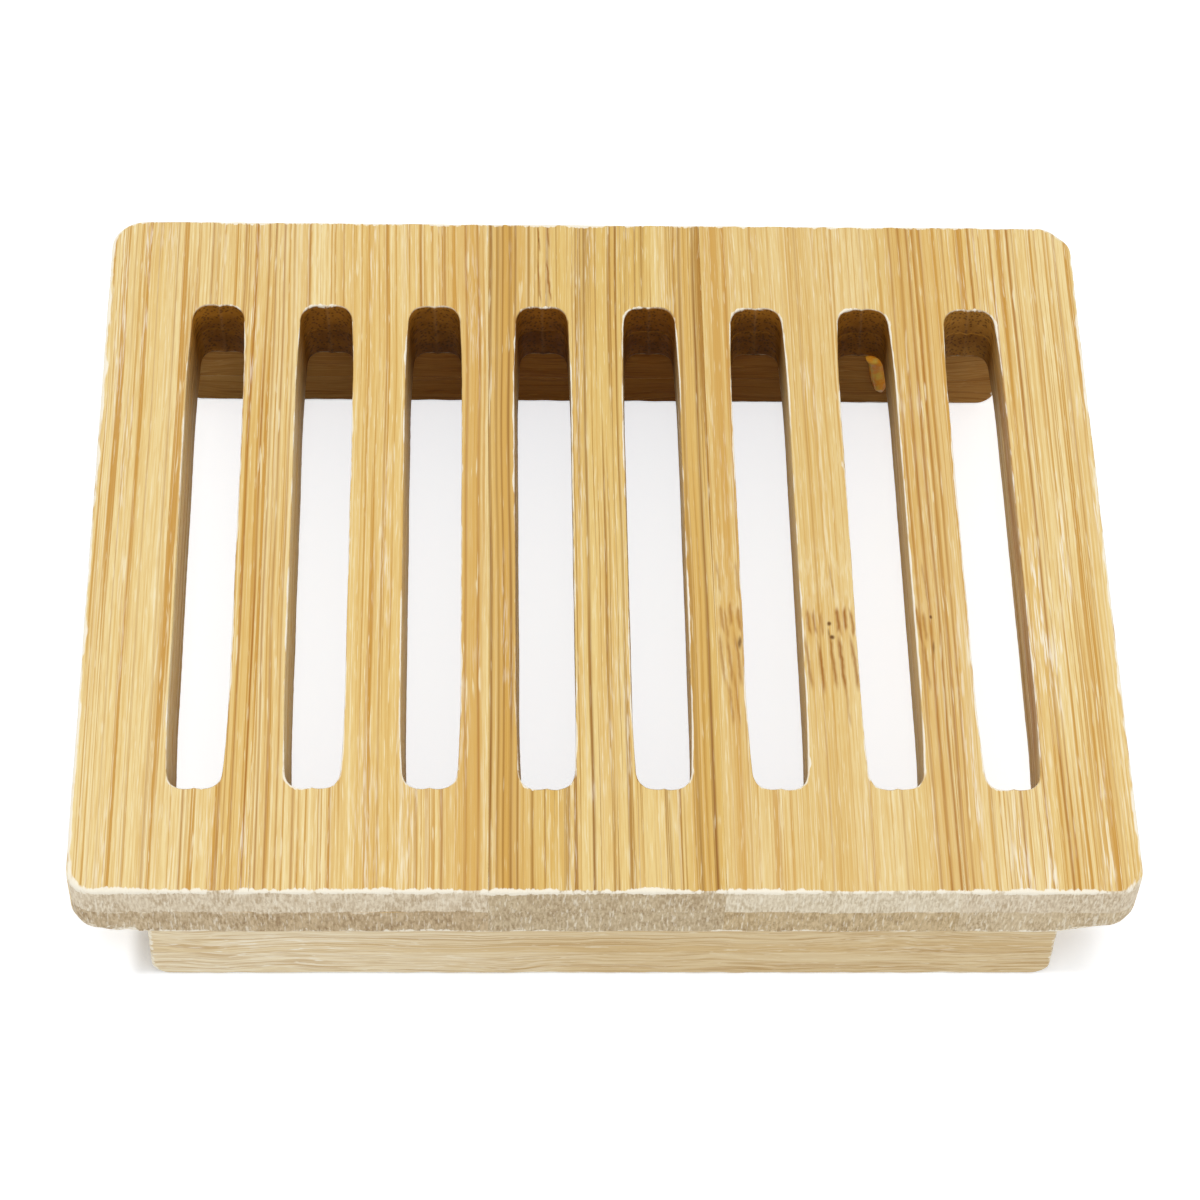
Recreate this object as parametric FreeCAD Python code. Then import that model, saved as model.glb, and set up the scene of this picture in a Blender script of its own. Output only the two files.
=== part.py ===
# Slatted soap dish of laminated bamboo: a slotted two-ply deck glued onto two cross feet.
# Millimetres, +Z up. +X runs along the long side, +Y from the front edge to the rear edge.
# The origin lies under the middle of the dish, on the plane that it stands on.
import FreeCAD, Part
import math
import os
from FreeCAD import Vector

# Deck: a board pressed from two plies of edge-glued strips, grain along Y.
deck_length = 120.0
deck_depth = 97.0
upper_ply_height = 4.5
lower_ply_height = 4.5
deck_corner_radius = 3.0  # the four upright corners
deck_arris_radius = 0.4  # sanded edge round the top and the underside

# Drain slots: each is milled through the deck in two round-ended passes, one beside the other.
slot_count = 8
slots_per_strip = 2  # the seams between the strips run down the middle of every second bar
side_margin = 10.2  # from the deck's ends to the outer slots
rail_depth = 13.5  # from the deck's front and rear edges to the slots
cutter_diameter = 5.1
pass_shift = 1.8  # sideways step from the first pass to the second

# Feet: two-ply battens under the front and rear rails, grain along X.
foot_inset = 8.5  # from the deck's ends to the foot's ends
foot_width = 13.2
foot_setback = 0.3  # outer face behind the deck's edge
foot_upper_ply_height = 4.9
foot_lower_ply_height = 4.9
foot_end_radius = 2.2  # rounded lower corners at both ends
foot_arris_radius = 0.4  # sanded edges of the two long faces

# Glue: a thin bed on each foot, with a run of squeezed-out glue under one slot at the rear.
glue_thickness = 0.2
drip_slot = 7  # counted from the left
drip_side_step = 2.9  # to the right of that slot's middle
drip_length = 6.9
drip_root_radius = 1.6
drip_tip_radius = 0.9

# Cuts start and end this far outside the solid.
overrun = 1.0

# The slots share out the deck between its margins, and the feet keep inside its ends.
slot_width = cutter_diameter + pass_shift
slot_length = deck_depth - 2 * rail_depth
slot_pitch = (deck_length - 2 * side_margin - slot_width) / (slot_count - 1)
foot_length = deck_length - 2 * foot_inset

# Levels, from the standing plane up.
foot_height = foot_lower_ply_height + foot_upper_ply_height
deck_base = foot_height + glue_thickness
deck_seam = deck_base + lower_ply_height
deck_top = deck_seam + upper_ply_height


def slot_middle(number):
    """X of a slot's middle line, slots counted from 1 at the left and centred on the deck."""
    return (number - (slot_count + 1) / 2) * slot_pitch


def cutter_pass(middle):
    """One straight pass of the cutter through the full deck, round at both ends."""
    radius = cutter_diameter / 2
    left = middle - radius
    right = middle + radius
    rear = slot_length / 2 - radius
    front = -rear
    base = deck_base - overrun
    outline = Part.Wire([
        Part.LineSegment(Vector(left, front, base), Vector(left, rear, base)).toShape(),
        Part.Arc(Vector(left, rear, base), Vector(middle, rear + radius, base), Vector(right, rear, base)).toShape(),
        Part.LineSegment(Vector(right, rear, base), Vector(right, front, base)).toShape(),
        Part.Arc(Vector(right, front, base), Vector(middle, front - radius, base), Vector(left, front, base)).toShape(),
    ])
    return Part.Face(outline).extrude(Vector(0, 0, deck_top + overrun - base))


def milled_slot(number):
    """Slot as wide as the cutter plus one step, with the low ridge that two passes leave in its ends."""
    middle = slot_middle(number)
    first = cutter_pass(middle - pass_shift / 2)
    second = cutter_pass(middle + pass_shift / 2)
    return first.fuse(second).removeSplitter()


def slotted_board():
    """The whole deck as one sanded board, before it is told apart into its strips."""
    board = Part.makeBox(
        deck_length, deck_depth, deck_top - deck_base, Vector(-deck_length / 2, -deck_depth / 2, deck_base)
    )
    upright = [edge for edge in board.Edges if edge.BoundBox.ZLength > edge.Length / 2]
    board = board.makeFillet(deck_corner_radius, upright)
    level = [edge for edge in board.Edges if edge.BoundBox.ZLength < edge.Length / 2]
    board = board.makeFillet(deck_arris_radius, level)
    return board.cut([milled_slot(number) for number in range(1, slot_count + 1)])


def strip_limits():
    """X limits of the strips from left to right; the outer two hold one slot, the others two."""
    first_seam = slots_per_strip / 2 + 0.5
    seams = [slot_middle(first_seam + slots_per_strip * step) for step in range(slot_count // slots_per_strip)]
    limits = [-deck_length / 2] + seams + [deck_length / 2]
    return list(zip(limits[:-1], limits[1:]))


def deck_strip(board, left, right, base, top):
    """The part of the board between two seams and two levels."""
    depth = deck_depth + 2 * overrun
    return board.common(Part.makeBox(right - left, depth, top - base, Vector(left, -depth / 2, base)))


def foot_bar():
    """Rear foot: a batten with rounded lower corners at its ends and sanded edges round its long faces."""
    inner = deck_depth / 2 - foot_setback - foot_width
    bar = Part.makeBox(foot_length, foot_width, foot_height, Vector(-foot_length / 2, inner, 0))
    ends = [
        edge for edge in bar.Edges
        if edge.BoundBox.YLength > edge.Length / 2 and edge.BoundBox.ZMax < foot_height / 2
    ]
    bar = bar.makeFillet(foot_end_radius, ends)
    sanded = [
        edge for edge in bar.Edges
        if edge.BoundBox.YLength < edge.Length / 2 and edge.BoundBox.ZMin < foot_height / 2
    ]
    return bar.makeFillet(foot_arris_radius, sanded)


def foot_ply(bar, base, top):
    """The part of a foot between two levels."""
    return bar.common(Part.makeBox(
        foot_length + 2 * overrun, deck_depth, top - base, Vector(-foot_length / 2 - overrun, 0, base)
    ))


def glue_bed(upper_ply):
    """Film over the whole top of a foot."""
    top = max(upper_ply.Faces, key=lambda face: face.CenterOfMass.z)
    return top.extrude(Vector(0, 0, glue_thickness))


def glue_drip():
    """Run of glue down the rear foot's inner face: half of a tapered drop with a round tip."""
    middle = slot_middle(drip_slot) + drip_side_step
    wall = deck_depth / 2 - foot_setback - foot_width
    end = deck_base - drip_length
    shoulder = end + drip_tip_radius
    curve = drip_tip_radius * math.sqrt(0.5)
    outline = Part.Wire([
        Part.LineSegment(Vector(middle, wall, end), Vector(middle, wall, deck_base)).toShape(),
        Part.LineSegment(Vector(middle, wall, deck_base), Vector(middle - drip_root_radius, wall, deck_base)).toShape(),
        Part.LineSegment(
            Vector(middle - drip_root_radius, wall, deck_base), Vector(middle - drip_tip_radius, wall, shoulder)
        ).toShape(),
        Part.Arc(
            Vector(middle - drip_tip_radius, wall, shoulder),
            Vector(middle - curve, wall, shoulder - curve),
            Vector(middle, wall, end),
        ).toShape(),
    ])
    return Part.Face(outline).revolve(Vector(middle, wall, 0), Vector(0, 0, 1), 180)


def front_copy(shape):
    """The same piece at the front, mirrored across the middle of the dish."""
    return shape.mirror(Vector(0, 0, 0), Vector(0, 1, 0))


def save(name, shape):
    shape.exportStep("parts/" + name + ".step")


os.makedirs("parts", exist_ok=True)

board = slotted_board()
for number, (left, right) in enumerate(strip_limits(), start=1):
    save("deck_upper_strip_" + str(number), deck_strip(board, left, right, deck_seam, deck_top))
    save("deck_lower_strip_" + str(number), deck_strip(board, left, right, deck_base, deck_seam))

bar = foot_bar()
lower_ply = foot_ply(bar, 0, foot_lower_ply_height)
upper_ply = foot_ply(bar, foot_lower_ply_height, foot_height)
bed = glue_bed(upper_ply)
save("rear_foot_lower_ply", lower_ply)
save("rear_foot_upper_ply", upper_ply)
save("rear_foot_glue", bed.fuse(glue_drip()).removeSplitter())
save("front_foot_lower_ply", front_copy(lower_ply))
save("front_foot_upper_ply", front_copy(upper_ply))
save("front_foot_glue", front_copy(bed))
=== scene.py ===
import math

import bmesh
import bpy
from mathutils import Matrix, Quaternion, Vector, geometry, noise


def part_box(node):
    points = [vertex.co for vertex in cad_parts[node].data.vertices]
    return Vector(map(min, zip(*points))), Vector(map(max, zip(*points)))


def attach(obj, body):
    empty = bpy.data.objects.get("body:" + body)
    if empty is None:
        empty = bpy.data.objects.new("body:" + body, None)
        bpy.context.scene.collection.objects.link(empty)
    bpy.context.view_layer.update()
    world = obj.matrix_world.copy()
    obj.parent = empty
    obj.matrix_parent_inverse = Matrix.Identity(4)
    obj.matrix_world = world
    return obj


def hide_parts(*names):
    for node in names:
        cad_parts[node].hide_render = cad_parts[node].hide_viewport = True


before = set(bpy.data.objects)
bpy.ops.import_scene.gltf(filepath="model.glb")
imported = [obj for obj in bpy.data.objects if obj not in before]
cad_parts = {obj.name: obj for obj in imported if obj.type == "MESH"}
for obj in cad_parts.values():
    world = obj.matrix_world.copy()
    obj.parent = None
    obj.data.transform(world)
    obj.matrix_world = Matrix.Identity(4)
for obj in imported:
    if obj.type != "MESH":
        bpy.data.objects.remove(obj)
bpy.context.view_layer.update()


# The deck's upper strips: five flat bamboo slats glued edge to edge make the deck's top ply.
# Eight drain slots are milled through the glued ply, two passes of a round cutter to a slot.
# The arrises are broken with sandpaper, which leaves a pale line of torn fibre along them.
middle_low, middle_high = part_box("deck_upper_strip_3")
slot_pitch = (middle_high.x - middle_low.x) / 2
slot_reach = 0.035
cutter_radius = 0.00255
cutter_shift = 0.0009
slot_lean = Vector((0.00040, 0.0))  # from the slot's upper edges to its lower ones
slot_draft = 0.00018  # narrower below, on each side
slot_pinch = 0.00042  # narrower at its two ends, on each side
pinch_run = 0.014
slot_shoulder = 0.08  # share of the radius that the corners of its ends stand out
cusp_width, cusp_paler = 0.0003, 0.05
# How dark the slot's walls are at each end with burn and painted shade, and how far that runs.
rear_left_burn_and_shade, rear_right_burn_and_shade = (1.0, 0.030), (1.0, 0.017)
front_left_burn_and_shade, front_right_burn_and_shade = (0.42, 0.007), (0.32, 0.007)
front_corner_radius, rear_corner_radius = 0.003, 0.0042
waver_turns, fuzz_turns, ease_turns = 130, 900, 420  # in a metre of edge
shut_arris = 0.0001  # a smaller arris is glued shut
deepest_ease = 0.9  # of the board's thickness
board_crease = math.radians(48)
fibre_depth, wood_sheen = 0.00006, 0.12
smoothest, roughest = 0.5, 0.7
upper_edges = {  # over, under: how far the arris is eased; fade: how far wear reaches into the face
    "seam": dict(over=0.00003, under=0.00003, worn=0.0, fade=0.00002, waver=0.0, step=0.004),
    "side": dict(over=0.00030, under=0.00006, worn=0.95, fade=0.00046, waver=0.00007, step=0.0003),
    "slot": dict(over=0.00015, under=0.00006, worn=0.78, fade=0.00014, waver=0.00004, step=0.0003),
    "slot_end": dict(over=0.00020, under=0.00006, worn=0.62, fade=0.00022, waver=0.00008, step=0.0002),
}
upper_chips = (  # place, reach and size
    (0.0584, 0.0470, 0.0022, 0.0006),
    (-0.0592, -0.0466, 0.0030, 0.0004),
    (0.0590, -0.0472, 0.0028, 0.0005),
    (0.0110, -0.0090, 0.0012, 0.0003),
    (0.0298, 0.0110, 0.0014, 0.0003),
    (-0.0497, -0.0120, 0.0010, 0.0002),
    (0.0231, -0.0315, 0.0012, 0.0003),
)


def station(place, into, edge, scorch_and_shade):
    """One point of a board's outline: its place, the way into the wood, and how its arrises are eased."""
    seed = edge["seed"]
    slow = noise.noise(Vector((place.x * waver_turns, place.y * waver_turns, seed)))
    quick = noise.noise(Vector((place.x * fuzz_turns, place.y * fuzz_turns, seed + 7)))
    shifted = place + into * edge["waver"] * (slow + 0.6 * quick)
    ease = 1 + 0.5 * noise.noise(Vector((place.x * ease_turns, place.y * ease_turns, seed + 13)))
    over, under = edge["over"] * ease, edge["under"] * ease
    for x, y, reach, size in edge["chips"]:
        near = max(0.0, 1 - ((place.x - x) ** 2 + (place.y - y) ** 2) / reach ** 2)
        over += edge["chip_over"] * size * near * near
        under += edge["chip_under"] * size * near * near
    open_over, open_under = edge["over"] > shut_arris, edge["under"] > shut_arris
    return dict(place=shifted, over=over, under=under, into_over=into * over, into_under=into * under,
                worn_over=edge["worn"] * open_over, worn_under=edge["worn"] * open_under,
                into=into, fade=into * edge["fade"], scorch_and_shade=scorch_and_shade, lean=Vector((0.0, 0.0)))


def straight(start, end, edge, scorch_and_shade=((0.0, 1.0), (0.0, 1.0))):
    """Stations along a straight edge, both ends included, with the wood on the left of the way.
    For each end the last argument gives the strength of burn and painted shade, and how far it runs."""
    start, end = Vector(start), Vector(end)
    along = end - start
    into = Vector((-along.y, along.x)).normalized()
    count = max(2, round(along.length / edge["step"]))
    line = []
    for k in range(count + 1):
        from_ends = (k * edge["step"], (count - k) * edge["step"])
        burnt_and_shaded = max(burn_and_shade * max(0.0, 1 - far / run) ** 2 for (burn_and_shade, run), far in zip(scorch_and_shade, from_ends))
        line.append(station(start + along * (k / count), into, edge, burnt_and_shaded))
    return line


def bend(middle, radius, first, last, edge, scorch_and_shade=0.0):
    """Stations round an arc, from one angle to another in degrees, both ends included."""
    middle = Vector(middle)
    turn = math.radians(last - first)
    count = max(4, round(abs(turn) * radius / edge["step"]))
    arc = []
    for k in range(count + 1):
        angle = math.radians(first) + turn * k / count
        spoke = Vector((math.cos(angle), math.sin(angle)))
        arc.append(station(middle + spoke * radius, -spoke if turn > 0 else spoke, edge, scorch_and_shade))
    return arc


def meet(a, b):
    """The station where one edge ends and the next begins, mitred between the two."""
    if a["into"].dot(b["into"]) < 0.3:
        mitred = {key: a[key] + b[key] for key in ("into_over", "into_under", "fade")}
        place = a["place"] if a["over"] + a["under"] > b["over"] + b["under"] else b["place"]
    else:
        spread = 1 + a["into"].dot(b["into"])
        mitred = {key: (a[key] + b[key]) / spread for key in ("into_over", "into_under", "fade")}
        place = (a["place"] + b["place"]) / 2
    rest = {key: max(a[key], b[key]) for key in ("over", "under", "worn_over", "worn_under", "scorch_and_shade")}
    return dict(place=place, into=(a["into"] + b["into"]).normalized(), lean=a["lean"], **mitred, **rest)


def outline(edges):
    """One closed outline from its edges in order, each joined to the next."""
    loop = []
    for edge, following in zip(edges, edges[1:] + edges[:1]):
        loop += edge[1:-1]
        loop.append(meet(edge[-1], following[0]))
    return loop


def board(name, outlines, low, high, lay, lean_above=0.0, lean_below=0.0):
    """A board with eased arrises from its outer outline and its slots; lay puts outline and height in space.
    Slots lean a little: above and below give how much of the lean is reached at the two faces."""
    made = bmesh.new()
    wear = made.verts.layers.float.new("edge_wear")
    # How strongly each point is painted with burn and painted shade.
    burn_and_shade = made.verts.layers.float.new("scorch_and_shade")
    # The rings from the flat face over the arris to the wall: share of inset, fade, drop and wear.
    rounds = [(1.0, 1.0, 0.0, 0.0), (1.0, 0.0, 0.0, 0.75), (0.5, 0.0, 0.134, 1.0),
              (0.134, 0.0, 0.5, 1.0), (0.0, 0.0, 1.0, 0.9), (0.0, 0.0, 2.6, 0.0)]
    rings = [("over", row) for row in rounds] + [("under", row) for row in reversed(rounds)]
    grid = []
    for side, (inset, fade, drop, worn) in rings:
        ring = []
        for loop in outlines:
            points = []
            for s in loop:
                fall = min(s[side] * drop, deepest_ease * (high - low))
                height = high - fall if side == "over" else low + fall
                lean = lean_above + (lean_below - lean_above) * (high - height) / (high - low)
                flat = s["place"] + s["into_" + side] * inset + s["fade"] * fade + s["lean"] * lean
                point = made.verts.new(lay(flat.x, flat.y, height))
                point[wear] = worn * s["worn_" + side]
                point[burn_and_shade] = s["scorch_and_shade"] * (min(1.0, drop) if s["worn_" + side] else 1.0)
                points.append(point)
            ring.append(points)
        grid.append(ring)
    for upper, lower in zip(grid, grid[1:]):
        for above, below in zip(upper, lower):
            for k in range(len(above)):
                n = (k + 1) % len(above)
                made.faces.new((above[k], above[n], below[n], below[k]))
    for ring in (grid[0], grid[-1]):
        corners = [point for points in ring for point in points]
        for a, b, c in geometry.tessellate_polygon([[p.co for p in points] for points in ring]):
            if len({a, b, c}) == 3:
                made.faces.new((corners[a], corners[b], corners[c]))
    bmesh.ops.recalc_face_normals(made, faces=made.faces)
    mesh = bpy.data.meshes.new(name)
    made.to_mesh(mesh)
    made.free()
    mesh.shade_smooth()
    mesh.set_sharp_from_angle(angle=board_crease)
    piece = bpy.data.objects.new(name, mesh)
    bpy.context.scene.collection.objects.link(piece)
    return piece


def drain_slot(middle, edges):
    """Outline of one drain slot: straight sides, and at each end the two round marks of the cutter.
    Its walls carry the cutter's burn and painted shade, most at the rear end and on the left wall."""
    side, end = edges["slot"], edges["slot_end"]
    reach = slot_reach - cutter_radius
    cusp = math.degrees(math.acos(cutter_shift / cutter_radius))
    left, right = middle - cutter_shift, middle + cutter_shift
    left_wall, right_wall = left - cutter_radius, right + cutter_radius
    loop = outline([
        straight((left_wall, -reach), (left_wall, reach), side, (front_left_burn_and_shade, rear_left_burn_and_shade)),
        bend((left, reach), cutter_radius, 180, cusp, end, rear_left_burn_and_shade[0]),
        bend((right, reach), cutter_radius, 180 - cusp, 0, end, rear_right_burn_and_shade[0]),
        straight((right_wall, reach), (right_wall, -reach), side, (rear_right_burn_and_shade, front_right_burn_and_shade)),
        bend((right, -reach), cutter_radius, 0, cusp - 180, end, front_right_burn_and_shade[0]),
        bend((left, -reach), cutter_radius, -cusp, -180, end, front_left_burn_and_shade[0]),
    ])
    for s in loop:
        place = s["place"]
        spoke = Vector((abs(place.x - middle) - cutter_shift, abs(place.y) - reach))
        if min(spoke) > 0:
            squarer = slot_shoulder * (2 * spoke.x * spoke.y / spoke.length_squared) ** 2
            place.x += math.copysign(spoke.x * squarer, place.x - middle)
            place.y += math.copysign(spoke.y * squarer, place.y)
        from_end = max(0.0, slot_reach - abs(place.y))
        squeeze = slot_pinch * max(0.0, 1 - from_end / pinch_run) ** 2
        place.x -= (place.x - middle) * squeeze / (cutter_radius + cutter_shift)
        s["lean"] = slot_lean - s["into"] * slot_draft
        s["scorch_and_shade"] *= 1 - cusp_paler * max(0.0, 1 - abs(place.x - middle) / cusp_width)
    return loop


def strip_outlines(number, low, high, edges):
    """Outer outline and drain slots of one deck strip; the two outer strips have the deck's round corners."""
    side, seam = edges["side"], edges["seam"]
    front, rear = front_corner_radius, rear_corner_radius
    if number == 1:
        outer = [
            straight((low.x + front, low.y), (high.x, low.y), side),
            straight((high.x, low.y), (high.x, high.y), seam),
            straight((high.x, high.y), (low.x + rear, high.y), side),
            bend((low.x + rear, high.y - rear), rear, 90, 180, side),
            straight((low.x, high.y - rear), (low.x, low.y + front), side),
            bend((low.x + front, low.y + front), front, 180, 270, side),
        ]
        middles = [high.x - slot_pitch / 2]
    elif number == 5:
        outer = [
            straight((low.x, low.y), (high.x - front, low.y), side),
            bend((high.x - front, low.y + front), front, -90, 0, side),
            straight((high.x, low.y + front), (high.x, high.y - rear), side),
            bend((high.x - rear, high.y - rear), rear, 0, 90, side),
            straight((high.x - rear, high.y), (low.x, high.y), side),
            straight((low.x, high.y), (low.x, low.y), seam),
        ]
        middles = [low.x + slot_pitch / 2]
    else:
        outer = [
            straight((low.x, low.y), (high.x, low.y), side),
            straight((high.x, low.y), (high.x, high.y), seam),
            straight((high.x, high.y), (low.x, high.y), side),
            straight((low.x, high.y), (low.x, low.y), seam),
        ]
        middles = [low.x + slot_pitch / 2, high.x - slot_pitch / 2]
    return [outline(outer)] + [drain_slot(middle, edges) for middle in middles]


def seen(red, green, blue):
    """A colour as the eye reads it, 0 to 255, turned into the linear colour that a shader takes."""
    levels = [c / 255 for c in (red, green, blue)]
    return tuple(c / 12.92 if c < 0.04045 else ((c + 0.055) / 1.055) ** 2.4 for c in levels) + (1.0,)


def node(tree, kind, inputs=None, **settings):
    """Adds a shader node; each input is a value, or the output of another node."""
    made = tree.nodes.new("ShaderNode" + kind)
    for name, value in settings.items():
        setattr(made, name, value)
    for place, value in (inputs or {}).items():
        if isinstance(value, bpy.types.NodeSocket):
            tree.links.new(value, made.inputs[place])
        else:
            made.inputs[place].default_value = value
    return made.outputs


def sums(tree, operation, a, b=0.0):
    """One step of arithmetic on values or on the outputs of nodes."""
    return node(tree, "Math", {0: a, 1: b}, operation=operation)[0]


def rise(tree, value, low, high):
    """0 below low, 1 above high, and a soft step between."""
    return node(tree, "MapRange", {0: value, 1: low, 2: high}, interpolation_type="SMOOTHSTEP")[0]


def part(tree, value, low, high, most):
    """A soft step from nothing up to the most that is laid on."""
    return sums(tree, "MULTIPLY", rise(tree, value, low, high), most)


def sway(tree, value, size):
    """Noise from 0 to 1 turned into a swing to both sides."""
    return sums(tree, "MULTIPLY", sums(tree, "SUBTRACT", value, 0.5), size)


def gap_to(tree, value, middle):
    """How far a value lies from a middle, to either side."""
    return sums(tree, "ABSOLUTE", sums(tree, "SUBTRACT", value, middle))


def dye(tree, share, under, over, way="MIX"):
    """Lays one colour over another by a share."""
    return node(tree, "Mix", {0: share, 6: under, 7: over}, data_type="RGBA", blend_type=way)[2]


def fibres(tree, place, across, along, seed, detail=2.0, up=None):
    """Noise drawn out along the grain: so many turns a metre across the grain, along it and up."""
    spot = node(tree, "Mapping", {0: place, 1: (seed * 3.7, seed * 1.9, seed * 5.3),
                                  3: (across, along, up or across)})[0]
    return node(tree, "TexNoise", {"Vector": spot, "Scale": 1.0, "Detail": detail, "Roughness": 0.55})[0]


def streaks(tree, across, left, right, lines):
    """Strength of strong lines listed between two sides; each has a place, half a width and a depth."""
    share = node(tree, "MapRange", {0: across, 1: left, 2: right})[0]
    ramp = tree.nodes.new("ShaderNodeValToRGB")
    stops = ramp.color_ramp.elements
    stops[0].color = stops[1].color = (0, 0, 0, 1)
    for place, half, depth in lines:
        for x, level in ((place - half, 0.0), (place, depth), (place + half, 0.0)):
            stops.new((x - left) / (right - left)).color = (level, level, level, 1)
    tree.links.new(share, ramp.inputs[0])
    return ramp.outputs[0]


def dabs(tree, place, spots):
    """Strength of small marks, listed one by one; each has a middle, half a width, half a length and a depth.
    """
    strongest = 0.0
    for x, y, half_width, half_length, depth in spots:
        off = node(tree, "Mapping", {0: place, 1: (-x / half_width, -y / half_length, 0.0),
                                     3: (1 / half_width, 1 / half_length, 0.0)})[0]
        far = node(tree, "VectorMath", {0: off}, operation="LENGTH")["Value"]
        strongest = sums(tree, "MAXIMUM", part(tree, far, 1.0, 0.2, depth), strongest)
    return strongest


def long_grain(tree, looks, across, along, up):
    """Colour and relief of a face along the grain: bands, lines, fine fibre, streaks, flecks and the node."""
    seed = looks["seed"]
    plain = node(tree, "CombineXYZ", {0: across, 1: along, 2: up})[0]
    drift = sway(tree, fibres(tree, plain, 30, 22, seed, 1.0), looks["drift"])
    bent_across = sums(tree, "ADD", across, drift)
    if "swell" in looks:
        up = sums(tree, "ADD", up, sway(tree, fibres(tree, plain, 110, 60, seed + 23, 2.0), looks["swell"]))
    bent = node(tree, "CombineXYZ", {0: bent_across, 1: along, 2: up})[0]
    broad = fibres(tree, bent, 150, 5, seed + 1, 1.0)
    lines = fibres(tree, bent, looks["line_turns"], 7, seed + 2, 3.0)
    thin = fibres(tree, bent, 3600, 11, seed + 15, 2.0)
    light = fibres(tree, bent, 4200, 14, seed + 16, 2.0)
    fine = fibres(tree, bent, 6000, 240, seed + 3, 2.0)
    hair = fibres(tree, bent, 2500, 16, seed + 4, 3.0)
    fleck = fibres(tree, bent, 2600, looks["fleck_turns"], seed + 6, 2.0)
    line_share = sums(tree, "MAXIMUM", part(tree, lines, 0.55, 0.65, looks["line_depth"]),
                      part(tree, thin, 0.56, 0.65, looks["line_depth"] * 0.8))
    if "node" in looks:
        off = gap_to(tree, along, looks["node"])
        far = node(tree, "MapRange", {0: off, 1: 0.004, 2: 0.011, 3: 0.35, 4: 1.0})[0]
        line_share = sums(tree, "MULTIPLY", line_share, far)
    colour = dye(tree, rise(tree, broad, 0.36, 0.64), looks["pale"], looks["honey"])
    colour = dye(tree, part(tree, hair, 0.46, 0.62, 0.45), colour, looks["amber"])
    colour = dye(tree, line_share, colour, looks["caramel"])
    colour = dye(tree, part(tree, light, 0.57, 0.66, 0.5), colour, looks["cream"])
    colour = dye(tree, part(tree, fine, 0.48, 0.64, 0.26), colour, looks["amber"])
    colour = dye(tree, part(tree, fine, 0.40, 0.29, 0.55), colour, looks["cream"])
    if "node" in looks:
        ring = sums(tree, "MULTIPLY", part(tree, off, 0.0045, 0.001, 0.45), rise(tree, fleck, 0.38, 0.60))
        colour = dye(tree, ring, colour, looks["amber"])
        behind = gap_to(tree, along, looks["node"] + 0.0055)
        spots = part(tree, fibres(tree, plain, 2600, 330, seed + 21), 0.45, 0.70, 0.4)
        mottle = sums(tree, "MULTIPLY", rise(tree, behind, 0.0085, 0.002), spots)
        colour = dye(tree, mottle, colour, looks["cream"])
    if "streaks" in looks:
        left, right = looks["left"], looks["right"]
        bands, dark = ([(left + share * (right - left), half, depth) for share, half, depth in looks[kind]]
                       for kind in ("bands", "streaks"))
        colour = dye(tree, streaks(tree, bent_across, left, right, bands), colour, looks["amber"])
        broken = part(tree, fibres(tree, bent, 1900, 40, seed + 8), 0.3, 0.6, 0.4)
        strong = sums(tree, "MULTIPLY", streaks(tree, bent_across, left, right, dark),
                      sums(tree, "ADD", 0.6, broken))
        colour = dye(tree, strong, colour, looks["brown"])
    colour = dye(tree, part(tree, fleck, 0.63, 0.72, looks["flecks"]), colour, looks["cream"])
    patches = part(tree, fibres(tree, bent, 420, 30, seed + 19), 0.52, 0.70, looks["scuffs"])
    scuffed = sums(tree, "MULTIPLY", patches, rise(tree, fine, 0.52, 0.38))
    colour = dye(tree, scuffed, colour, looks["torn"])
    relief = sums(tree, "SUBTRACT", sums(tree, "MULTIPLY", fine, 0.5),
                  sums(tree, "MULTIPLY", line_share, 0.5))
    if "dashes" in looks:
        ends = sway(tree, fibres(tree, plain, 1100, 3, seed + 10, 1.0), 0.006)
        ragged = sums(tree, "ADD", along, ends)
        stray = sway(tree, fibres(tree, plain, 1500, 500, seed + 9), 0.0004)
        strayed = sums(tree, "ADD", across, stray)
        for middle, half, row in looks["dashes"]:
            within = sums(tree, "SUBTRACT", 1.0, rise(tree, gap_to(tree, ragged, middle), half * 0.5, half))
            slant = sums(tree, "MULTIPLY", sums(tree, "SUBTRACT", along, middle), 0.06)
            leaning = sums(tree, "ADD", strayed, slant)
            dash = sums(tree, "MULTIPLY", streaks(tree, leaning, looks["left"], looks["right"], row), within)
            colour = dye(tree, dash, colour, looks["dash"])
            relief = sums(tree, "SUBTRACT", relief, sums(tree, "MULTIPLY", dash, 0.6))
        pits = dabs(tree, node(tree, "CombineXYZ", {0: strayed, 1: along})[0], looks["pits"])
        colour = dye(tree, pits, colour, looks["pit"])
        relief = sums(tree, "SUBTRACT", relief, sums(tree, "MULTIPLY", pits, 1.4))
    return colour, relief, hair


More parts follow.
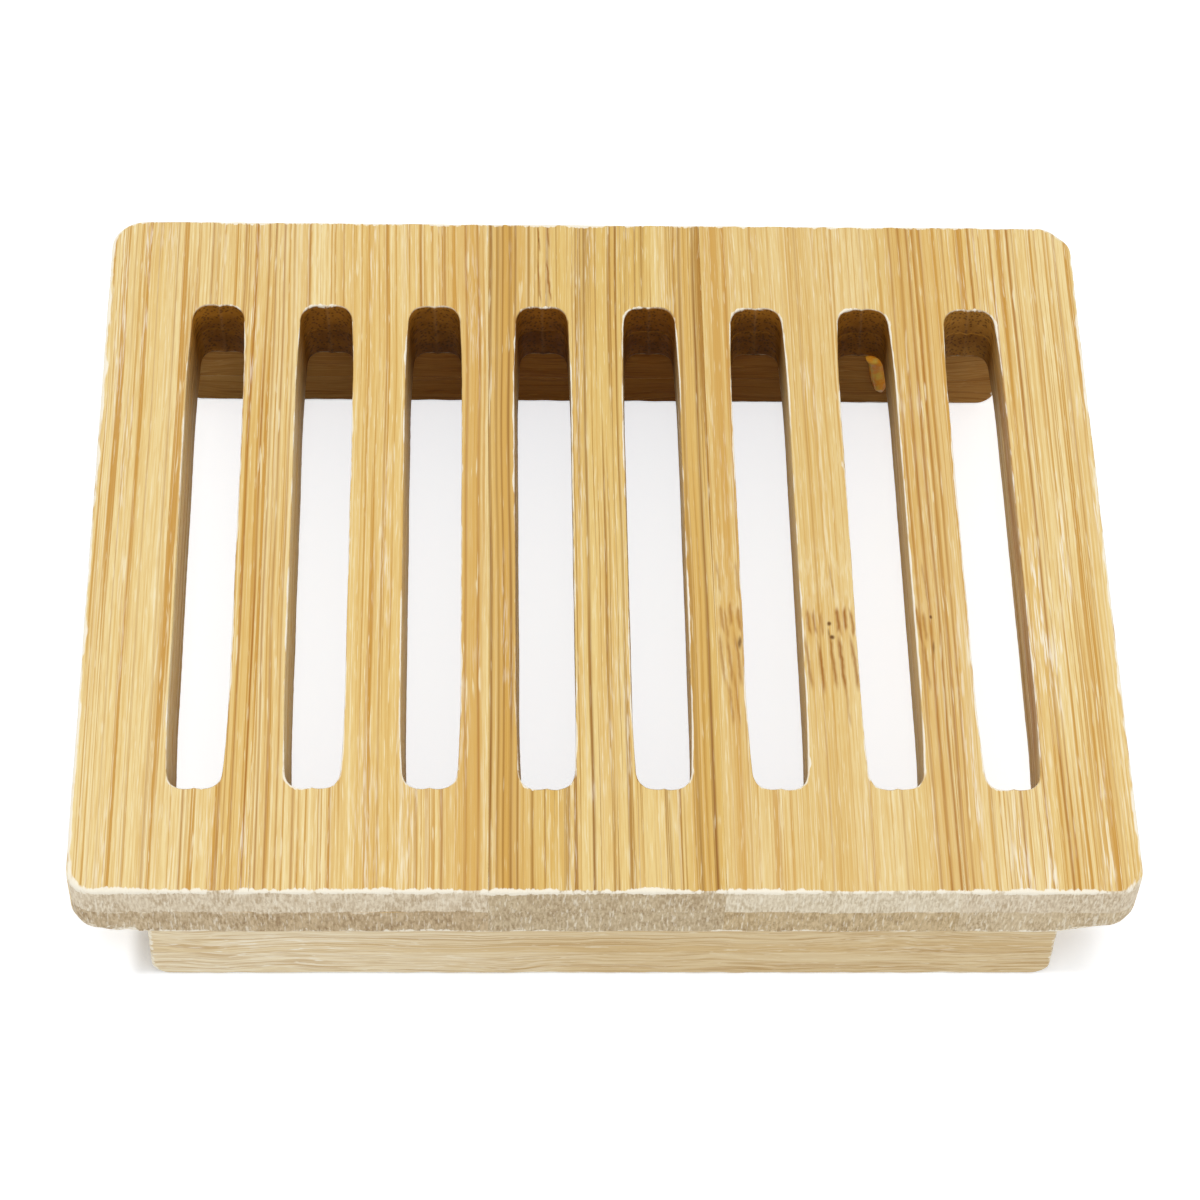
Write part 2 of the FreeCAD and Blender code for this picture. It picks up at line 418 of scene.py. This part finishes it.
def cut_end(tree, looks, across, along, up):
    """Colour of a cut end: short rays of fibre, pores and clouds.
    And the colour of the slot wall: the cutter's burn with painted shade, paler towards the top."""
    seed = looks["seed"]
    plain = node(tree, "CombineXYZ", {0: across, 1: along, 2: up})[0]
    rays = fibres(tree, plain, 3400, 60, seed + 12, 4.0, up=950)
    hairs = fibres(tree, plain, 3600, 60, seed + 17, 2.0, up=560)
    cloud = fibres(tree, plain, 260, 30, seed + 13, 2.0, up=420)
    pores, specks = (
        node(tree, "TexVoronoi", {"Vector": node(tree, "Mapping", {0: plain, 3: turns})[0], "Scale": 1.0})[0]
        for turns in ((1500, 30, 1500), (2300, 300, 2300)))
    pale, dark = looks["end_pale"], looks["end_dark"]
    # Painted shade: the wall is painted paler towards its top and darker deeper in the slot, with clouds.
    cloud_and_height_shade = sums(tree, "ADD", part(tree, cloud, 0.3, 0.7, 0.5),
                   part(tree, up, looks["shade_thins_from"], looks["shade_thins_from"] + 0.0045, 0.5))
    char_and_shade = dye(tree, cloud_and_height_shade, looks["char_and_shade_dark"], looks["char_and_shade_pale"])
    char_and_shade = dye(tree, part(tree, specks, 0.48, 0.22, 0.6), char_and_shade, looks["char_pore"])
    if "ply_line" in looks:
        wave = sway(tree, fibres(tree, plain, 420, 1, 5, 5.0, up=1), looks["ply_wave"])
        level = sums(tree, "ADD", up, wave)
        above = rise(tree, level, looks["ply_line"] - 0.00012, looks["ply_line"] + 0.00012)
        pale = dye(tree, above, looks["low_pale"], pale)
        dark = dye(tree, above, looks["low_dark"], dark)
        glint = part(tree, gap_to(tree, level, looks["ply_line"]), 0.00022, 0.00006, looks["ply_glint"])
        char_and_shade = dye(tree, glint, char_and_shade, looks["caramel"])
    cut = dye(tree, rise(tree, rays, 0.30, 0.72), dark, pale)
    cut = dye(tree, part(tree, cloud, 0.38, 0.62, 0.4), cut, pale)
    cut = dye(tree, part(tree, pores, 0.3, 0.12, 0.3), cut, dark, "MULTIPLY")
    cut = dye(tree, part(tree, hairs, 0.55, 0.70, 0.5), cut, looks["torn"])
    return cut, char_and_shade


def bamboo(name, looks, grain="Y"):
    """Solid bamboo: lines along the grain, dots and short rays on cut ends, torn pale fibre on arrises."""
    material = bpy.data.materials.new(name)
    material.use_nodes = True
    tree = material.node_tree
    tree.nodes.clear()
    spot = node(tree, "SeparateXYZ", {0: node(tree, "TexCoord")["Object"]})
    facing = node(tree, "SeparateXYZ", {0: node(tree, "NewGeometry")["Normal"]})
    across, along = (spot["X"], spot["Y"]) if grain == "Y" else (spot["Y"], spot["X"])
    colour, relief, hair = long_grain(tree, looks, across, along, spot["Z"])
    if "sanded" in looks:
        # Painted shade on the feet's inner faces, darkest under the middle of the deck.
        facing_in = rise(tree, sums(tree, "MULTIPLY", facing["Y"], looks["inner_side"]), 0.3, 0.8)
        deep = rise(tree, sums(tree, "ABSOLUTE", along), 0.050, 0.010)
        shaded_inner = dye(tree, 1.0, colour, dye(tree, deep, looks["unsanded"], looks["inner_deepest_shade"]), "MULTIPLY")
        tanned = dye(tree, 1.0, colour, looks["tan"], "MULTIPLY")
        to_right = rise(tree, along, looks["sanded"] - 0.02, looks["sanded"] + 0.02)
        colour = dye(tree, facing_in, dye(tree, to_right, colour, tanned), shaded_inner)
    end_on = rise(tree, sums(tree, "ABSOLUTE", facing[grain]), 0.25, 0.55)
    cut, char_and_shade = cut_end(tree, looks, across, along, spot["Z"])
    colour = dye(tree, end_on, colour, cut)
    # The slot walls: the cutter's burn with painted shade, by each point's scorch value.
    burnt_and_shaded = node(tree, "Attribute", attribute_name="scorch_and_shade")["Fac"]
    colour = dye(tree, burnt_and_shaded, colour, char_and_shade)

    plain = node(tree, "CombineXYZ", {0: across, 1: along, 2: spot["Z"]})[0]
    worn = node(tree, "Attribute", attribute_name="edge_wear")["Fac"]
    fuzz = fibres(tree, plain, 1900, 260, 0, 3.0)
    patchy = fibres(tree, plain, 230, 90, 0, 2.0)
    frayed = sums(tree, "ADD", sums(tree, "ADD", worn, sway(tree, fuzz, 1.6)), sway(tree, patchy, 2.2))
    torn = sums(tree, "MULTIPLY", rise(tree, frayed, 0.55, 0.92), rise(tree, worn, 0.02, 0.2))
    colour = dye(tree, sums(tree, "MULTIPLY", torn, 0.9), colour, looks["torn"])

    rough_cut = sums(tree, "ADD", sums(tree, "MULTIPLY", end_on, 0.8), sums(tree, "MULTIPLY", torn, 1.2))
    relief = sums(tree, "ADD", relief, sums(tree, "MULTIPLY", fuzz, rough_cut))
    bump = node(tree, "Bump", {"Strength": 0.5, "Distance": fibre_depth, "Height": relief})[0]
    rough = node(tree, "MapRange", {0: hair, 1: 0.3, 2: 0.7, 3: smoothest, 4: roughest})[0]
    shader = node(tree, "BsdfPrincipled", {"Base Color": colour, "Roughness": rough, "Normal": bump,
                                           "Specular IOR Level": wood_sheen})[0]
    node(tree, "OutputMaterial", {"Surface": shader})
    return material


# Colours of the wood, and how strong its marks are; each strip adds its own below.
honey_looks = dict(
    pale=seen(243, 219, 159), honey=seen(234, 201, 130), amber=seen(215, 168, 84), caramel=seen(198, 142, 54),
    brown=seen(170, 108, 34), cream=seen(250, 236, 194), torn=seen(255, 248, 230), dash=seen(154, 90, 12),
    # char colours: burn with painted shade on the slot walls, painted paler from the given height up.
    pit=seen(96, 52, 12), char_and_shade_dark=seen(106, 62, 8), char_and_shade_pale=seen(166, 110, 34), char_pore=seen(62, 34, 4),
    shade_thins_from=0.0135, ply_glint=0.12,
    line_turns=1450, line_depth=0.85, fleck_turns=130, flecks=0.65, scuffs=0.35, drift=0.0009,
)
# Some strips set their own char colours: burn with painted shade.
cut_end_looks = {
    1: dict(end_pale=seen(240, 227, 202), end_dark=seen(192, 170, 137), low_pale=seen(217, 197, 163),
            low_dark=seen(165, 139, 103), ply_wave=0.0034,
            char_and_shade_dark=seen(116, 70, 8), char_and_shade_pale=seen(178, 120, 36)),
    2: dict(end_pale=seen(240, 227, 202), end_dark=seen(192, 170, 137), low_pale=seen(213, 191, 155),
            low_dark=seen(163, 137, 101), ply_wave=0.0030),
    3: dict(end_pale=seen(218, 200, 166), end_dark=seen(172, 148, 114), low_pale=seen(217, 199, 165),
            low_dark=seen(167, 143, 109), ply_wave=0.0014,
            char_and_shade_dark=seen(100, 55, 4), char_and_shade_pale=seen(158, 100, 26)),
    4: dict(end_pale=seen(245, 234, 210), end_dark=seen(200, 182, 150), low_pale=seen(219, 197, 157),
            low_dark=seen(170, 144, 104), ply_wave=0.0014),
    5: dict(end_pale=seen(240, 227, 202), end_dark=seen(192, 170, 137), low_pale=seen(227, 209, 175),
            low_dark=seen(178, 154, 118), ply_wave=0.0024,
            char_and_shade_dark=seen(138, 92, 28), char_and_shade_pale=seen(190, 138, 60), ply_glint=0.7),
}
# Bands and streaks: place as a share of the strip's width, half a width and depth.
# Dashes: where the row lies along the strip, half its length, and its marks.
# Pits: place, half a width, half a length and depth.
upper_looks = {
    1: dict(
        seed=11, scuffs=0.5,
        bands=((0.95, 0.0028, 0.1),),
        streaks=(
            (0.155, 0.00012, 0.5), (0.30, 0.00014, 0.5), (0.41, 0.00018, 0.6), (0.62, 0.00022, 0.7),
            (0.645, 0.00012, 0.5), (0.82, 0.00026, 0.85), (0.85, 0.00014, 0.7), (0.89, 0.00020, 0.8),
            (0.965, 0.00020, 0.9),
        ),
    ),
    2: dict(
        seed=23,
        bands=((0.06, 0.0030, 0.1), (0.935, 0.0040, 0.75)),
        streaks=(
            (0.015, 0.00018, 0.9), (0.055, 0.00022, 0.8), (0.10, 0.00016, 0.7), (0.17, 0.00020, 0.8),
            (0.33, 0.00014, 0.6), (0.53, 0.00018, 0.7), (0.69, 0.00024, 0.8), (0.80, 0.00026, 0.8),
            (0.90, 0.00024, 0.7), (0.955, 0.00024, 0.85),
        ),
    ),
    3: dict(
        seed=37, pale=seen(237, 209, 142), honey=seen(226, 191, 113), caramel=seen(168, 118, 48),
        brown=seen(146, 94, 34), line_depth=0.92, flecks=0.45,
        bands=((0.07, 0.0050, 0.9), (0.93, 0.0036, 0.55)),
        streaks=(
            (0.012, 0.00028, 0.95), (0.045, 0.00022, 0.7), (0.068, 0.00018, 0.8), (0.10, 0.00028, 0.9),
            (0.128, 0.00020, 0.8), (0.19, 0.00024, 0.7), (0.45, 0.00028, 0.8), (0.60, 0.00020, 0.7),
            (0.90, 0.00026, 0.8), (0.965, 0.00034, 1.0),
        ),
        dashes=(
            (0.0464, 0.0024, (
                (-0.0069, 0.00016, 0.8), (-0.0057, 0.00016, 0.8),
            )),
            (0.0394, 0.0040, (
                (-0.0069, 0.00018, 0.8), (-0.0057, 0.00020, 0.9),
            )),
        ),
        pits=((-0.0069, 0.0458, 0.00012, 0.0006, 0.5),),
    ),
    4: dict(
        seed=41, pale=seen(239, 214, 154), honey=seen(230, 199, 131), line_depth=0.6, line_turns=1250,
        flecks=0.45, node=-0.0118, scuffs=0.25,
        bands=((0.06, 0.0036, 0.4), (0.5, 0.0085, 0.14), (0.95, 0.0032, 0.55)),
        streaks=(
            (0.11, 0.00014, 0.5), (0.235, 0.00012, 0.5), (0.45, 0.00016, 0.5), (0.62, 0.00014, 0.5),
            (0.76, 0.00018, 0.6), (0.90, 0.00022, 0.7), (0.945, 0.00030, 0.9), (0.985, 0.00028, 0.9),
        ),
        dashes=(
            (-0.0118, 0.0021, (
                (0.0140, 0.00028, 0.6), (0.0151, 0.00030, 0.65), (0.0160, 0.00028, 0.7),
                (0.0241, 0.00030, 0.7), (0.0248, 0.00032, 0.75), (0.0256, 0.00026, 0.55),
                (0.02755, 0.00036, 0.95), (0.02845, 0.00034, 0.9), (0.0292, 0.00028, 0.8),
            )),
            (-0.0122, 0.0026, (
                (0.0145, 0.00024, 0.6), (0.0370, 0.00030, 0.75), (0.0377, 0.00026, 0.65),
            )),
            (-0.0176, 0.0042, (
                (0.01384, 0.00028, 0.65), (0.01475, 0.00028, 0.7), (0.01575, 0.00032, 0.7),
                (0.02385, 0.00030, 0.75), (0.02527, 0.00030, 0.85), (0.0267, 0.00032, 0.8),
                (0.0277, 0.00034, 0.95), (0.0292, 0.00032, 0.8), (0.0375, 0.00028, 0.65),
            )),
            (-0.0060, 0.0030, (
                (0.0138, 0.00022, 0.5), (0.0160, 0.00024, 0.5), (0.0271, 0.00022, 0.5),
                (0.0381, 0.00022, 0.5),
            )),
            (-0.0235, 0.0036, (
                (0.01464, 0.00026, 0.6), (0.0154, 0.00022, 0.5), (0.0281, 0.00022, 0.45),
            )),
        ),
        pits=(
            (0.02652, -0.0123, 0.00034, 0.00048, 0.9), (0.02676, -0.0142, 0.00044, 0.00046, 0.9),
            (0.02645, -0.0136, 0.00018, 0.0009, 0.5), (0.01597, -0.0150, 0.00030, 0.0013, 0.75),
            (0.03853, -0.0113, 0.00024, 0.00040, 0.85), (0.03856, -0.0156, 0.00022, 0.0013, 0.55),
        ),
    ),
    5: dict(
        seed=59, scuffs=0.7,
        bands=((0.06, 0.0036, 0.5),),
        streaks=(
            (0.02, 0.00030, 0.85), (0.06, 0.00022, 0.8), (0.20, 0.00018, 0.6), (0.29, 0.00016, 0.6),
            (0.365, 0.00026, 0.9), (0.50, 0.00018, 0.7), (0.61, 0.00026, 0.9), (0.64, 0.00014, 0.6),
            (0.78, 0.00012, 0.5), (0.90, 0.00016, 0.5),
        ),
    ),
}
for kind in upper_edges.values():
    kind.update(seed=3.0, chips=upper_chips, chip_over=1.0, chip_under=0.0)
for number, looks in upper_looks.items():
    low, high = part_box(f"deck_upper_strip_{number}")
    strip = board(f"upper_strip_{number}", strip_outlines(number, low, high, upper_edges), low.z, high.z,
                  lambda u, v, w: (u, v, w), lean_above=0.0, lean_below=0.5)
    strip_looks = {**honey_looks, **cut_end_looks[number], **looks,
                   "ply_line": low.z, "left": low.x, "right": high.x}
    strip.data.materials.append(bamboo(f"upper_bamboo_{number}", strip_looks))
    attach(strip, "root")
    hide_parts(f"deck_upper_strip_{number}")


# The deck's lower strips: five more slats, glued under the first five with their grain the same way.
# Their cut ends are browner, and their lower arrises are sanded, most of all at the front corners.
lower_edges = {
    "seam": dict(over=0.00003, under=0.00003, worn=0.0, fade=0.00002, waver=0.0, step=0.004),
    "side": dict(over=0.00006, under=0.00036, worn=0.75, fade=0.0003, waver=0.00007, step=0.0003),
    "slot": dict(over=0.00006, under=0.00018, worn=0.4, fade=0.00015, waver=0.00004, step=0.0004),
    "slot_end": dict(over=0.00006, under=0.00020, worn=0.2, fade=0.00015, waver=0.00004, step=0.0003),
}
corner_sanding = (  # place, reach and size
    (0.0592, -0.0470, 0.0095, 0.0024),
    (-0.0592, -0.0472, 0.0060, 0.0016),
    (-0.0535, -0.0485, 0.0014, 0.0006),
)
for kind in lower_edges.values():
    kind.update(seed=29.0, chips=corner_sanding, chip_over=0.0, chip_under=1.0)
lower_seeds = {1: 71, 2: 73, 3: 79, 4: 83, 5: 89}
for number, seed in lower_seeds.items():
    low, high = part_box(f"deck_lower_strip_{number}")
    strip = board(f"lower_strip_{number}", strip_outlines(number, low, high, lower_edges), low.z, high.z,
                  lambda u, v, w: (u, v, w), lean_above=0.5, lean_below=1.0)
    strip_looks = {**honey_looks, **cut_end_looks[number], "ply_line": high.z, "seed": seed}
    strip.data.materials.append(bamboo(f"lower_bamboo_{number}", strip_looks))
    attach(strip, "root")
    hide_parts(f"deck_lower_strip_{number}")


# The feet: two bars across the deck's ends, each of two bamboo plies glued face to face.
# Their grain runs across the dish, so the long sides show lines and the ends show dots.
# The lower corners are rounded on the sander.
foot_corner_radius = 0.0022
foot_edges = {
    "seam": dict(over=0.00005, under=0.00005, worn=0.0, fade=0.00002, waver=0.0, step=0.004),
    "side": dict(over=0.00035, under=0.00035, worn=0.7, fade=0.0003, waver=0.00007, step=0.0003),
    "sole": dict(over=0.00035, under=0.00035, worn=0.7, fade=0.0003, waver=0.0, step=0.0003),
}
for kind in foot_edges.values():
    kind.update(seed=43.0, chips=(), chip_over=0.0, chip_under=0.0)
foot_looks = dict(
    honey_looks, pale=seen(246, 233, 202), honey=seen(236, 216, 175), amber=seen(218, 192, 147),
    caramel=seen(196, 162, 112), cream=seen(252, 245, 226), end_pale=seen(236, 220, 190),
    end_dark=seen(188, 164, 128), fleck_turns=380, flecks=0.9, scuffs=0.7, line_turns=2000, line_depth=0.7,
    drift=0.004, swell=0.0036, sanded=-0.018, tan=(0.86, 0.785, 0.655, 1.0),
    # Painted shade colours for the feet's inner faces, the second for under the middle of the deck.
    unsanded=(0.57, 0.35, 0.135, 1.0), inner_deepest_shade=(0.43, 0.20, 0.04, 1.0),
)


def foot_outline(low, high, rounded):
    """Outline of one foot ply as seen from the front; the lower ply has rounded lower corners."""
    side, sole, seam, r = foot_edges["side"], foot_edges["sole"], foot_edges["seam"], foot_corner_radius
    if rounded:
        return outline([
            straight((low.x + r, low.z), (high.x - r, low.z), sole),
            bend((high.x - r, low.z + r), r, -90, 0, sole),
            straight((high.x, low.z + r), (high.x, high.z), side),
            straight((high.x, high.z), (low.x, high.z), seam),
            straight((low.x, high.z), (low.x, low.z + r), side),
            bend((low.x + r, low.z + r), r, 180, 270, sole),
        ])
    return outline([
        straight((low.x, low.z), (high.x, low.z), seam),
        straight((high.x, low.z), (high.x, high.z), side),
        straight((high.x, high.z), (low.x, high.z), seam),
        straight((low.x, high.z), (low.x, low.z), side),
    ])


for end, seed, inner_side in (("front", 97, 1.0), ("rear", 131, -1.0)):
    for ply, step in (("upper", 0), ("lower", 6)):
        low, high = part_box(f"{end}_foot_{ply}_ply")
        bar = board(f"{end}_{ply}_bar", [foot_outline(low, high, ply == "lower")], low.y, high.y,
                    lambda u, v, w: (u, w, v))
        looks = dict(foot_looks, seed=seed + step, inner_side=inner_side)
        bar.data.materials.append(bamboo(f"{end}_{ply}_bar_bamboo", looks, grain="X"))
        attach(bar, "root")
        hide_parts(f"{end}_foot_{ply}_ply")


# The glue: a thin film under each end of the deck holds the feet. At the rear some was squeezed out
# and ran down the inner face of the foot, where it set as an amber tongue, broken at its upper left.
film_edge = dict(over=0.00004, under=0.00004, worn=0.0, fade=0.00002, waver=0.00013, step=0.0008,
                 seed=61.0, chips=(), chip_over=0.0, chip_under=0.0)
film_setback = 0.00018
drip_rows = (  # height, left edge, right edge, thickness
    (0.01000, 0.03500, 0.03730, 0.00105), (0.00965, 0.03440, 0.03738, 0.00118),
    (0.00930, 0.03446, 0.03744, 0.00120), (0.00880, 0.03486, 0.03752, 0.00112),
    (0.00800, 0.03498, 0.03762, 0.00104), (0.00700, 0.03512, 0.03768, 0.00100),
    (0.00600, 0.03530, 0.03766, 0.00104), (0.00500, 0.03554, 0.03762, 0.00112),
    (0.00430, 0.03576, 0.03756, 0.00116), (0.00380, 0.03598, 0.03746, 0.00108),
    (0.00340, 0.03640, 0.03730, 0.00086), (0.00316, 0.03664, 0.03710, 0.00050),
    (0.00310, 0.03680, 0.03696, 0.00016),
)
drip_bubble = Vector((0.03668, 0.0340, 0.00375))
bubble_radius, bubble_depth = 0.00045, 0.00025
row_steps, arc_steps = 3, 20
drip_lumps, drip_fullness = 0.10, 0.8
lumps_across, lumps_down = 900, 700  # in a metre
drip_crease = math.radians(60)
glue_relief, glue_sheen = 0.0001, 0.14


def glue_film(name, low, high):
    """Glue film a little smaller than the top of the foot, with an uneven edge."""
    d = film_setback
    ring = outline([
        straight((low.x + d, low.y + d), (high.x - d, low.y + d), film_edge),
        straight((high.x - d, low.y + d), (high.x - d, high.y - d), film_edge),
        straight((high.x - d, high.y - d), (low.x + d, high.y - d), film_edge),
        straight((low.x + d, high.y - d), (low.x + d, low.y + d), film_edge),
    ])
    return board(name, [ring], low.z, high.z, lambda u, v, w: (u, v, w))


def glue_drip(name, wall):
    """Tongue of set glue against the foot: half-round rows from the deck down to a rounded tip."""
    made = bmesh.new()
    rows = []
    for (z0, l0, r0, t0), (z1, l1, r1, t1) in zip(drip_rows, drip_rows[1:]):
        for k in range(row_steps):
            f = k / row_steps
            rows.append((z0 + (z1 - z0) * f, l0 + (l1 - l0) * f, r0 + (r1 - r0) * f, t0 + (t1 - t0) * f))
    rows.append(drip_rows[-1])
    loops = []
    for height, left, right, thick in rows:
        loop = []
        for k in range(arc_steps + 1):
            angle = math.pi * k / arc_steps
            x = (left + right) / 2 - (right - left) / 2 * math.cos(angle)
            bulge = 1 + drip_lumps * noise.noise(Vector((x * lumps_across, height * lumps_down, 5.0)))
            point = Vector((x, wall - thick * bulge * math.sin(angle) ** drip_fullness, height))
            near = max(0.0, 1 - (point - drip_bubble).length / bubble_radius)
            point.y += bubble_depth * near
            loop.append(made.verts.new(point))
        loops.append(loop)
    for above, below in zip(loops, loops[1:]):
        for k in range(arc_steps + 1):
            n = (k + 1) % (arc_steps + 1)
            made.faces.new((above[k], above[n], below[n], below[k]))
    made.faces.new(loops[0])
    made.faces.new(loops[-1])
    bmesh.ops.recalc_face_normals(made, faces=made.faces)
    mesh = bpy.data.meshes.new(name)
    made.to_mesh(mesh)
    made.free()
    mesh.shade_smooth()
    mesh.set_sharp_from_angle(angle=drip_crease)
    piece = bpy.data.objects.new(name, mesh)
    bpy.context.scene.collection.objects.link(piece)
    return piece


set_glue = bpy.data.materials.new("set_glue")
set_glue.use_nodes = True
tree = set_glue.node_tree
tree.nodes.clear()
spot = node(tree, "TexCoord")["Object"]
cloud = node(tree, "TexNoise", {"Vector": spot, "Scale": 900.0, "Detail": 3.0})[0]
colour = dye(tree, rise(tree, cloud, 0.35, 0.7), seen(255, 164, 30), seen(255, 216, 96))
gap = node(tree, "VectorMath", {0: spot, 1: tuple(drip_bubble)}, operation="DISTANCE")["Value"]
in_bubble = sums(tree, "SUBTRACT", 0.8, part(tree, gap, 0.0003, 0.0005, 0.8))
colour = dye(tree, in_bubble, colour, seen(244, 204, 130))
bump = node(tree, "Bump", {"Strength": 0.3, "Distance": glue_relief, "Height": cloud})[0]
rough = node(tree, "MapRange", {0: cloud, 1: 0.3, 2: 0.7, 3: 0.25, 4: 0.4})[0]
shader = node(tree, "BsdfPrincipled", {"Base Color": colour, "Roughness": rough, "Normal": bump, "IOR": 1.5,
                                       "Specular IOR Level": glue_sheen})[0]
node(tree, "OutputMaterial", {"Surface": shader})
bed_low, bed_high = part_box("front_foot_glue")
front_film = glue_film("front_glue_film", bed_low, bed_high)
# The rear film is the front one mirrored, because the rear bed's box also holds the drip.
rear_film = glue_film("rear_glue_film", Vector((bed_low.x, -bed_high.y, bed_low.z)),
                      Vector((bed_high.x, -bed_low.y, bed_high.z)))
drip = glue_drip("rear_glue_drip", -bed_high.y)
for piece, bed in ((front_film, "front_foot_glue"), (rear_film, "rear_foot_glue"), (drip, "rear_foot_glue")):
    piece.data.materials.append(set_glue)
    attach(piece, "root")
    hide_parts(bed)


# The table under the dish: a plain sheet of white card, matt, with the dish standing free on it.
# It shows white with a painted glow, stronger under the deck as painted light over the deck's shade.
# Under the deck it sends less light back up, so that the slots and the feet's inner sides stay dark,
# and beside the ends of the feet the glow is lowered as a painted shadow over their soft shadow.
sheet_size, sheet_drop = 4.0, 0.00005
white, white_glow = (0.92, 0.95, 0.99, 1.0), (0.98, 1.0, 1.03, 1.0)
under_deck, around_deck = (0.12, 0.12, 0.12, 1.0), (0.85, 0.85, 0.85, 1.0)
# From and to: where the deck's shade on the sheet thins out, and below where the feet's painted shadow lies.
deck_side, deck_front, right_side = (0.051, 0.060), (0.036, 0.044), (0.037, 0.049)
shade_left, shade_right, shade_front = (-0.0550, -0.0525), (0.0610, 0.0540), (0.0490, 0.0475)
# How dark the painted shadow is beside the left and the right foot.
left_shade, right_shade = 0.36, 0.22
# The raise under the deck is painted light over the deck's shade.
lift_under, lift_less = 0.60, 0.15  # how much its white is raised under the deck, and how much less around it
bpy.ops.mesh.primitive_plane_add(size=sheet_size, location=(0.0, 0.0, -sheet_drop))
table = bpy.context.object
table.name = "white_sheet"
sheet = bpy.data.materials.new("white_sheet")
sheet.use_nodes = True
tree = sheet.node_tree
tree.nodes.clear()
path = node(tree, "LightPath")
mirrored = sums(tree, "MAXIMUM", path["Is Glossy Ray"], path["Is Transmission Ray"])
shown = sums(tree, "MAXIMUM", path["Is Camera Ray"], mirrored)
spot = node(tree, "SeparateXYZ", {0: node(tree, "TexCoord")["Object"]})
off_middle = sums(tree, "ABSOLUTE", spot["Y"])
clear_x = rise(tree, sums(tree, "ABSOLUTE", spot["X"]), *deck_side)
clear_y = rise(tree, off_middle, *deck_front)
clear = sums(tree, "MAXIMUM", clear_x, clear_y)
open_right = rise(tree, spot["X"], *right_side)
given_back = dye(tree, sums(tree, "MAXIMUM", clear, open_right), under_deck, around_deck)
matt = node(tree, "BsdfDiffuse", {"Color": dye(tree, shown, given_back, white)})[0]
# Painted shadow beside the ends of the feet: the glow is lowered there.
beside = sums(tree, "MULTIPLY", rise(tree, spot["X"], *shade_left), rise(tree, spot["X"], *shade_right))
at_foot = sums(tree, "MULTIPLY", rise(tree, off_middle, *shade_front), clear_y)
side = node(tree, "MapRange", {0: spot["X"], 1: -0.02, 2: 0.02, 3: left_shade, 4: right_shade})[0]
shade = sums(tree, "MULTIPLY", sums(tree, "MULTIPLY", beside, at_foot), side)
lift = sums(tree, "SUBTRACT", lift_under, sums(tree, "MULTIPLY", clear, lift_less))
lift = sums(tree, "SUBTRACT", lift, shade)
lift = sums(tree, "MULTIPLY", shown, lift)
glow = node(tree, "Emission", {"Color": white_glow, "Strength": lift})[0]
node(tree, "OutputMaterial", {"Surface": node(tree, "AddShader", {0: matt, 1: glow})[0]})
table.data.materials.append(sheet)


# The light: an even white room, as in a tent of white cloth, and one large soft lamp above the dish,
# a little to its front.
room_light, room_seen = 0.78, 1.0
lamp_size, lamp_power = 0.5, 1.3
lamp_place = Vector((0.0, -0.12, 0.70))
world = bpy.data.worlds.new("white_room")
bpy.context.scene.world = world
world.use_nodes = True
tree = world.node_tree
tree.nodes.clear()
path = node(tree, "LightPath")
strength = node(tree, "MapRange", {0: path["Is Camera Ray"], 3: room_light, 4: room_seen})[0]
room = node(tree, "Background", {"Color": (1.0, 1.0, 1.0, 1.0), "Strength": strength})[0]
node(tree, "OutputWorld", {"Surface": room})
lamp_data = bpy.data.lights.new("soft_lamp", "AREA")
lamp_data.size = lamp_size
lamp_data.energy = lamp_power
lamp = bpy.data.objects.new("soft_lamp", lamp_data)
bpy.context.scene.collection.objects.link(lamp)
lamp.location = lamp_place
lamp.rotation_euler = (-lamp_place).to_track_quat("-Z", "Y").to_euler()


# The camera: held above the front edge of the dish with a long lens and tipped a little, as the photograph
# was taken. The lens is given in pixels of a square picture, and its middle lies just off the picture's.
lens_pixels = 3700.3
picture_pixels = 1200.0
middle_x, middle_y = 604.9, 601.2
eye = Vector((-0.01602, -0.25586, 0.37387))
look = Vector((0.001276, 0.003975, 0.0))
tip = math.radians(3.346)
camera_data = bpy.data.cameras.new("camera")
camera_data.sensor_width = 36.0
camera_data.lens = lens_pixels / picture_pixels * camera_data.sensor_width
camera_data.shift_x = (picture_pixels / 2 - middle_x) / picture_pixels
camera_data.shift_y = (middle_y - picture_pixels / 2) / picture_pixels
camera_data.clip_start = 0.01
camera = bpy.data.objects.new("camera", camera_data)
camera.rotation_mode = "QUATERNION"
camera.rotation_quaternion = (look - eye).to_track_quat("-Z", "Y") @ Quaternion((0, 0, 1), tip)
camera.location = eye
bpy.context.scene.collection.objects.link(camera)
bpy.context.scene.camera = camera
bpy.context.scene.view_settings.view_transform = "Standard"
